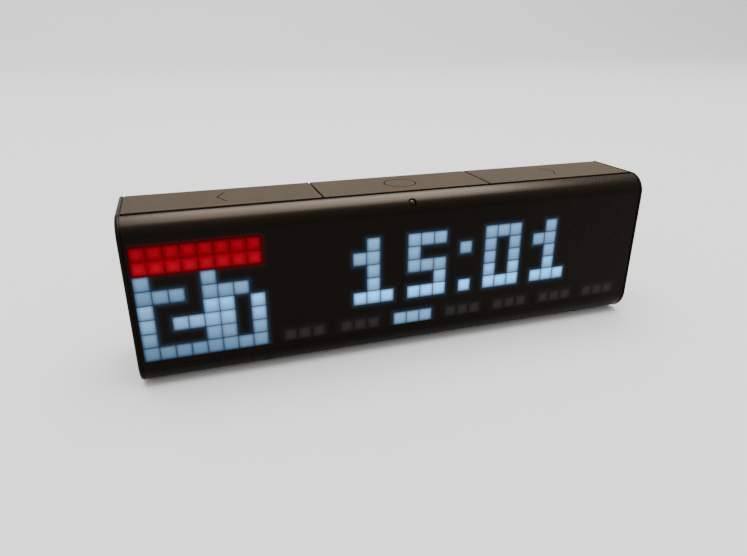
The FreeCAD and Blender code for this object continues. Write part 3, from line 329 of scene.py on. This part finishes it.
FINISHES = {
    "smoked_face": lambda name: moulded_plastic(name, **FACE),
    "case_black": lambda name: moulded_plastic(
        name, (0.0085, 0.008, 0.0074), 0.52, specular=0.14, depth=0.006 * MM, dust=0.04),
    "cap_black": lambda name: moulded_plastic(
        name, (0.0026, 0.0022, 0.0017), 0.36, specular=0.036, tint=(1.0, 0.90, 0.76), grain=2200.0,
        depth=0.002 * MM, dust=0.02),
    "key_black": lambda name: moulded_plastic(
        name, (0.0095, 0.0070, 0.0038), 0.46, specular=0.042, tint=(1.0, 0.86, 0.62), grain=1900.0,
        depth=0.004 * MM, dust=0.008),
    "button_black": lambda name: moulded_plastic(name, (0.014, 0.0135, 0.013), 0.42, specular=0.35),
    "frame_black": lambda name: moulded_plastic(name, (0.02, 0.02, 0.02), 0.5),
    "grid_white": lambda name: moulded_plastic(name, (0.72, 0.72, 0.70), 0.45),
    "diffuser": lambda name: moulded_plastic(name, (0.6, 0.6, 0.58), 0.6),
    "circuit_board": circuit_board,
    "led_package": lambda name: moulded_plastic(name, (0.75, 0.74, 0.68), 0.3, mottle=0.05),
    "chip_black": lambda name: moulded_plastic(name, (0.014, 0.014, 0.015), 0.6, grain=2600.0),
    "connector": lambda name: moulded_plastic(name, (0.62, 0.59, 0.50), 0.4),
    "switch": lambda name: moulded_plastic(name, (0.02, 0.02, 0.021), 0.45),
    "shield_steel": lambda name: brushed_metal(name, (0.62, 0.61, 0.59), 0.34),
    "usb_plastic": lambda name: moulded_plastic(name, (0.012, 0.012, 0.012), 0.4),
    "ribbon": lambda name: moulded_plastic(name, (0.7, 0.69, 0.66), 0.35),
    "speaker_cone": lambda name: moulded_plastic(name, (0.02, 0.019, 0.018), 0.75, depth=0.02 * MM),
    "magnet": ceramic_magnet,
    "gasket_foam": lambda name: rubber(name, (0.02, 0.02, 0.02)),
    "sensor_clear": clear_lens,
    "screw_steel": lambda name: brushed_metal(name, (0.16, 0.155, 0.15), 0.38),
    "foot_rubber": lambda name: rubber(name, (0.022, 0.0215, 0.021)),
    "label_film": lambda name: moulded_plastic(name, (0.36, 0.36, 0.35), 0.35, grain=900.0),
}


def finish_nodes():
    """Gives every CAD node the finish of its material slot."""
    made = {slot: make(slot) for slot, make in FINISHES.items()}
    for entry in frame["record"]["subparts"]:
        node = frame["nodes"][entry["node"]]
        for holder in node.material_slots:
            holder.material = made[entry["material_slot"]]


# ---- meshes ----

def new_object(name, mesh, material, body):
    thing = bpy.data.objects.new(name, mesh)
    bpy.context.scene.collection.objects.link(thing)
    mesh.materials.append(material)
    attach(thing, body)
    return thing


def rounded_square(half_x, half_z, corner, steps=4):
    """Points of a square with round corners, anticlockwise, about its own middle."""
    points = []
    for turn, (side_x, side_z) in enumerate(((1, 1), (-1, 1), (-1, -1), (1, -1))):
        for step in range(steps + 1):
            angle = math.radians(90 * turn + 90 * step / steps)
            points.append((
                side_x * (half_x - corner) + corner * math.cos(angle),
                side_z * (half_z - corner) + corner * math.sin(angle),
            ))
    return points


FACE_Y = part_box("front_shell")[0].y
HALO_Y = FACE_Y - 0.03 * MM
WELL_Y = FACE_Y - 0.06 * MM
WELL_FILL = {"white": 0.99, "red": 1.0, "dim": 0.97}
WELL_CORNER = {"white": 0.16, "red": 0.12, "dim": 0.3}
# share of the way from a well's middle to its rim, and how bright it looks there
WELL_RINGS = {
    "white": ((0.0, 1.0), (0.4, 0.99), (0.62, 0.96), (0.78, 0.90), (0.9, 0.78), (1.0, 0.55)),
    "red": ((0.0, 1.0), (0.2, 0.985), (0.35, 0.95), (0.5, 0.90), (0.65, 0.84), (0.8, 0.77), (1.0, 0.62)),
    "dim": ((0.0, 1.0), (0.3, 0.98), (0.55, 0.88), (0.78, 0.68), (1.0, 0.42)),
}
ROW_LEVEL = {
    "white": (0.80, 0.78, 0.76, 0.78, 0.86, 0.97, 0.80, 0.76),
    "red": (0.84, 0.97),
}
ICON_LEVEL = (1.0, 1.0, 0.70, 0.68, 0.84, 0.80, 0.68, 0.60)
# the icon grows brighter towards its right, and no two wells are quite the same
ICON_SLOPE = 0.012
ICON_MIDDLE = 3
RIPPLE = 0.015
# how much a tile's rim fades on a side where no lit well of its own light is next to it, and the share
# of the way from the tile's middle where that fade starts
OPEN_SIDE_FADE = {"white": 0.3, "red": 0.5, "dim": 0.2}
FADE_START = 0.6
TOP_GLOW = {"white": 0.14, "red": 0.0, "dim": 0.0}


def well_level(light, column, row):
    """How bright a well is. The rows differ, as on a matrix that is lit row by row."""
    if light == "dim":
        return 1.0
    level = ROW_LEVEL[light][row]
    if light == "white" and column < ROWS:
        level = ICON_LEVEL[row] + ICON_SLOPE * (column - ICON_MIDDLE)
    return level + RIPPLE * math.sin(12.9 * column + 7.7 * row)


def rim_share(wells, light, place, across, up):
    """1 inside a tile and next to a lit neighbour, less towards a side with no lit neighbour."""
    column, row = place
    reach_x, reach_z = across / (PITCH_X / 2), up / (PITCH_Z / 2)
    share = 1.0
    for reach, beside in ((reach_x, (column + (1 if reach_x > 0 else -1), row)),
                          (reach_z, (column, row + (1 if reach_z < 0 else -1)))):
        if wells.get(beside) != light:
            share *= 1 - OPEN_SIDE_FADE[light] * max(0.0, (abs(reach) - FADE_START) / (1 - FADE_START))
    return share


def make_wells(light, wells, material):
    """One mesh of soft-edged round-cornered tiles, one for each lit well of a light. A white tile is a
    little brighter towards its top."""
    mesh = bpy.data.meshes.new(light + "_wells")
    vertices, faces, values = [], [], []
    fill = WELL_FILL[light]
    for (column, row), name in sorted(wells.items()):
        if name != light:
            continue
        centre_x, centre_z = well_centre(column, row)
        level = well_level(light, column, row)
        rings = []
        for share, value in WELL_RINGS[light]:
            half_x = PITCH_X / 2 * fill * share
            half_z = PITCH_Z / 2 * fill * share
            squareness = share ** 2 * (1 - WELL_CORNER[light])
            ring = [(0.0, 0.0)] if share == 0 else rounded_square(
                half_x, half_z, (1 - squareness) * min(half_x, half_z))
            first = len(vertices)
            for across, up in ring:
                vertices.append((centre_x + across, WELL_Y, centre_z + up))
                shine = value * level * (1 + TOP_GLOW[light] * up / (PITCH_Z / 2))
                values.append(shine * rim_share(wells, light, (column, row), across, up))
            rings.append(range(first, len(vertices)))
        count = len(rings[1])
        for step in range(count):
            faces.append((rings[0][0], rings[1][step], rings[1][(step + 1) % count]))
        for inner, outer in zip(rings[1:], rings[2:]):
            for step in range(count):
                after = (step + 1) % count
                faces.append((inner[step], outer[step], outer[after], inner[after]))
    mesh.from_pydata(vertices, [], faces)
    layer = mesh.attributes.new("light", "FLOAT", "POINT")
    layer.data.foreach_set("value", values)
    return new_object(light + "_wells", mesh, material, "case")


BLOOM_REACH = {"white": 0.34, "red": 0.36, "dim": 0.34}
FLAT_FACE_HALF = 98.4 * MM
FLAT_FACE_LOW = 9.9 * MM
FLAT_FACE_HIGH = 53.7 * MM


def make_bloom(wells, material, steps=5):
    """The faint glow round lit wells: one sheet of small squares with a colour value at each corner."""

    def glow(light, across, up):
        total = 0.0
        reach = BLOOM_REACH[light]
        column = (across - GRID_MIDDLE.x) / PITCH_X + (COLUMNS - 1) / 2
        row = (ROWS - 1) / 2 - (up - GRID_MIDDLE.z) / PITCH_Z
        for side in range(int(column) - 1, int(column) + 3):
            for level in range(int(row) - 1, int(row) + 3):
                if wells.get((side, level)) != light:
                    continue
                gap = math.hypot(max(0.0, abs(column - side) - 0.5), max(0.0, abs(row - level) - 0.5))
                if gap < reach:
                    total = max(total, (1 - gap / reach) ** 2)
        return total

    mesh = bpy.data.meshes.new("bloom")
    left, top = well_centre(-0.5, -0.5)
    points, faces, vertices = {}, [], []
    values = {"white": [], "red": [], "dim": []}

    def point(column, row):
        if (column, row) not in points:
            across = left + column * PITCH_X / steps
            up = top - row * PITCH_Z / steps
            points[column, row] = len(vertices)
            vertices.append((across, HALO_Y, up))
            for light, numbers in values.items():
                numbers.append(glow(light, across, up))
        return points[column, row]

    near = {(column + dx, row + dz) for column, row in wells for dx in (-1, 0, 1) for dz in (-1, 0, 1)}
    for column, row in sorted(near):
        for step_x in range(steps):
            for step_z in range(steps):
                x0 = column * steps + step_x
                z0 = row * steps + step_z
                reach_x = max(abs(left + x0 * PITCH_X / steps), abs(left + (x0 + 1) * PITCH_X / steps))
                upper = top - z0 * PITCH_Z / steps
                lower = upper - PITCH_Z / steps
                if reach_x > FLAT_FACE_HALF or lower < FLAT_FACE_LOW or upper > FLAT_FACE_HIGH:
                    continue
                faces.append((point(x0, z0), point(x0, z0 + 1), point(x0 + 1, z0 + 1), point(x0 + 1, z0)))
    mesh.from_pydata(vertices, [], faces)
    for light, numbers in values.items():
        layer = mesh.attributes.new(light + "_glow", "FLOAT", "POINT")
        layer.data.foreach_set("value", numbers)
    return new_object("bloom", mesh, material, "case")


def bloom_material(name, colours):
    """The face's own plastic, lit faintly from behind in three colours by the sheet's glow values."""
    nodes = plastic_nodes(name, **FACE)
    total = (0.0, 0.0, 0.0)
    for light, colour in colours.items():
        value = nodes.add("ShaderNodeAttribute", attribute_name=light + "_glow").outputs["Fac"]
        total = nodes.mix(value, total, colour)
    nodes.set("Emission Color", total)
    nodes.shader.inputs["Emission Strength"].default_value = 1.0
    return nodes.material


WHITE_LIGHT = (
    (0.0, (0.0, 0.0002, 0.0006)),
    (0.2, (0.0022, 0.0095, 0.0255)),
    (0.4, (0.024, 0.044, 0.072)),
    (0.6, (0.055, 0.107, 0.180)),
    (0.8, (0.093, 0.199, 0.339)),
    (1.0, (0.080, 0.436, 1.0)),
)
RED_LIGHT = (
    (0.0, (0.0, 0.0, 0.0)),
    (0.3, (0.075, 0.0, 0.002)),
    (0.6, (0.355, 0.0, 0.012)),
    (0.85, (0.72, 0.0, 0.022)),
    (1.0, (0.94, 0.0, 0.026)),
)
DIM_LIGHT = (
    (0.0, (0.0, 0.0, 0.0)),
    (0.5, (0.22, 0.24, 0.25)),
    (1.0, (0.86, 0.90, 1.0)),
)
GLOW = {"dim": (0.004, 0.004, 0.0045), "white": (0.012, 0.027, 0.050), "red": (0.035, 0.0, 0.001)}


def make_picture():
    wells = picture()
    lights = {
        "white": light_material("white_light", WHITE_LIGHT, 2.8, LIT_FACE),
        "red": light_material("red_light", RED_LIGHT, 0.58, LIT_FACE),
        "dim": light_material("dim_light", DIM_LIGHT, 0.026, FACE),
    }
    for name, material in lights.items():
        make_wells(name, wells, material)
    make_bloom(wells, bloom_material("bloom", GLOW))


# ---- marks on the keys and buttons ----

def ribbon_path(name, points, width, height, closed=False):
    """A flat raised line through points in a plane, as a mesh of its own: (x, y) pairs in metres."""
    graph = bmesh.new()
    count = len(points)
    rows = []
    for index, (px, py) in enumerate(points):
        before = points[index - 1] if closed or index else points[index]
        after = points[(index + 1) % count] if closed or index < count - 1 else points[index]
        direction = Vector((after[0] - before[0], after[1] - before[1])).normalized()
        into = Vector((px - before[0], py - before[1]))
        normal = Vector((-direction.y, direction.x))
        into = into.normalized() if into.length > 1e-9 else direction
        spread = width / 2 / max(0.35, abs(normal.dot(Vector((-into.y, into.x)))))
        rows.append([
            graph.verts.new((px + normal.x * spread * side, py + normal.y * spread * side, level))
            for side, level in ((1, 0.0), (1, height), (-1, height), (-1, 0.0))
        ])
    spans = count if closed else count - 1
    for index in range(spans):
        first, second = rows[index], rows[(index + 1) % count]
        for corner in range(4):
            following = (corner + 1) % 4
            graph.faces.new((first[corner], first[following], second[following], second[corner]))
    if not closed:
        graph.faces.new(rows[0])
        graph.faces.new(list(reversed(rows[-1])))
    bmesh.ops.recalc_face_normals(graph, faces=graph.faces)
    mesh = bpy.data.meshes.new(name)
    graph.to_mesh(mesh)
    graph.free()
    return mesh


def arc_points(radius, start, stop, steps):
    return [(radius * math.cos(math.radians(start + (stop - start) * step / steps)),
             radius * math.sin(math.radians(start + (stop - start) * step / steps)))
            for step in range(steps + 1)]


MARK_HEIGHT = 0.03 * MM
MARK_SUNK = 0.005 * MM
MARK_WIDTH = 0.52 * MM
MARK_DEPTH = 19.5 * MM
RING_RADIUS = 6.1 * MM
CHEVRON_REACH = 1.4 * MM
CHEVRON_ARM = 6.15 * MM
LEFT_MARK_X = -66.2 * MM
RING_X = 1.2 * MM
RIGHT_MARK_X = 68.3 * MM
BUTTON_MARK_ARM = 1.5 * MM
BUTTON_MARK_WIDTH = 0.32 * MM


def key_marks(ink):
    """The keys' printed marks: a wide chevron on each outer key and a ring on the middle one."""
    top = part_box("action_key")[1].z - MARK_SUNK
    middle_y = FACE_Y + MARK_DEPTH
    ring = arc_points(RING_RADIUS, 0, 360, 48)[:-1]
    chevron = [(CHEVRON_REACH, CHEVRON_ARM), (-CHEVRON_REACH, 0.0), (CHEVRON_REACH, -CHEVRON_ARM)]
    flipped = [(-px, py) for px, py in chevron]
    marks = (
        ("left_key_mark", chevron, False, LEFT_MARK_X, "left_key"),
        ("action_key_mark", ring, True, RING_X, "action_key"),
        ("right_key_mark", flipped, False, RIGHT_MARK_X, "right_key"),
    )
    for name, points, closed, across, body in marks:
        mesh = ribbon_path(name, points, MARK_WIDTH, MARK_HEIGHT, closed)
        for vertex in mesh.vertices:
            vertex.co += Vector((across, middle_y, top))
        new_object(name, mesh, ink, body)


def side_marks(ink):
    """Plus, minus and power marks on the round side buttons."""
    arm = BUTTON_MARK_ARM
    line = [(-arm, 0.0), (arm, 0.0)]
    upright = [(0.0, -arm), (0.0, arm)]
    marks = (
        ("volume_up_mark", "volume_up_button", -1, (line, upright)),
        ("volume_down_mark", "volume_down_button", -1, (line,)),
        ("power_mark", "power_button", 1,
         (arc_points(arm, 125, 415, 24), [(0.0, 0.5 * MM), (0.0, 1.9 * MM)])),
    )
    for label, node, side, strokes in marks:
        low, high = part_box(node)
        face_x = low.x if side < 0 else high.x
        middle = (low + high) / 2
        for index, stroke in enumerate(strokes):
            name = "%s_%d" % (label, index)
            mesh = ribbon_path(name, stroke, BUTTON_MARK_WIDTH, MARK_HEIGHT)
            for vertex in mesh.vertices:
                across, up, out = vertex.co
                vertex.co = Vector((
                    face_x - side * (MARK_HEIGHT - out), middle.y + side * across, middle.z + up))
            new_object(name, mesh, ink, node)


# ---- studio ----

def make_backdrop():
    """A pale floor that curves up into a wall well behind the clock."""
    half, front, bend, radius, top = 5.0, -4.0, 2.2, 1.6, 3.6
    profile = [(front, 0.0), (bend, 0.0)]
    profile += [(bend + radius * math.sin(math.radians(turn)), radius * (1 - math.cos(math.radians(turn))))
                for turn in range(10, 91, 10)]
    profile.append((bend + radius, top))
    vertices = [(side, along, up) for along, up in profile for side in (-half, half)]
    faces = [(2 * row, 2 * row + 1, 2 * row + 3, 2 * row + 2) for row in range(len(profile) - 1)]
    mesh = bpy.data.meshes.new("backdrop")
    mesh.from_pydata(vertices, [], faces)
    backdrop = bpy.data.objects.new("backdrop", mesh)
    bpy.context.scene.collection.objects.link(backdrop)
    for face in mesh.polygons:
        face.use_smooth = True
    nodes = Nodes("backdrop_paper", (0.9, 0.9, 0.89), 0.9, specular=0.05)
    nodes.set("Base Color", nodes.mix(nodes.noise(3.0), (0.90, 0.90, 0.895), (0.92, 0.92, 0.915)))
    mesh.materials.append(nodes.material)
    return backdrop


def area_light(name, place, target, size, power, colour=(1, 1, 1), spared=None):
    """A rectangular lamp that faces a target; the spared object takes no light from it."""
    lamp = bpy.data.lights.new(name, "AREA")
    lamp.shape = "RECTANGLE"
    lamp.size, lamp.size_y = size
    lamp.energy = power
    lamp.color = colour
    holder = bpy.data.objects.new(name, lamp)
    holder.location = place
    holder.rotation_euler = (Vector(target) - Vector(place)).to_track_quat("-Z", "Y").to_euler()
    bpy.context.scene.collection.objects.link(holder)
    if spared is not None:
        linking = bpy.data.collections.new(name + "_linking")
        linking.objects.link(spared)
        linking.collection_objects[0].light_linking.link_state = "EXCLUDE"
        holder.light_linking.receiver_collection = linking
    return holder


def make_studio(backdrop):
    world = bpy.data.worlds.new("studio")
    world.use_nodes = True
    world.node_tree.nodes["Background"].inputs["Color"].default_value = (1.0, 0.99, 0.975, 1)
    world.node_tree.nodes["Background"].inputs["Strength"].default_value = 0.95
    bpy.context.scene.world = world
    area_light("fill", (0.0, 0.2, 2.8), (0, 0.4, 0), (3.0, 3.0), 110.0)
    area_light("overhead", (0.26, 0.2, 1.1), (0.26, 0.2, 0.0), (0.92, 1.1), 126.0,
               (1.0, 0.87, 0.74), backdrop)


def make_camera():
    """The camera stands to the left and above, and looks down to the right."""
    camera = bpy.data.cameras.new("camera")
    camera.sensor_width = 36.0
    camera.lens = 28.52
    camera.clip_start = 0.01
    holder = bpy.data.objects.new("camera", camera)
    holder.location = (-79.10 * MM, -208.98 * MM, 115.02 * MM)
    holder.rotation_euler = (math.radians(67.47), 0.0, math.radians(-18.29))
    bpy.context.scene.collection.objects.link(holder)
    bpy.context.scene.camera = holder


finish_nodes()
make_picture()
key_ink = moulded_plastic("key_ink", (0.006, 0.005, 0.004), 0.9, specular=0.0)
button_ink = moulded_plastic("button_ink", (0.30, 0.29, 0.28), 0.5)
key_marks(key_ink)
side_marks(button_ink)
make_camera()
make_studio(make_backdrop())
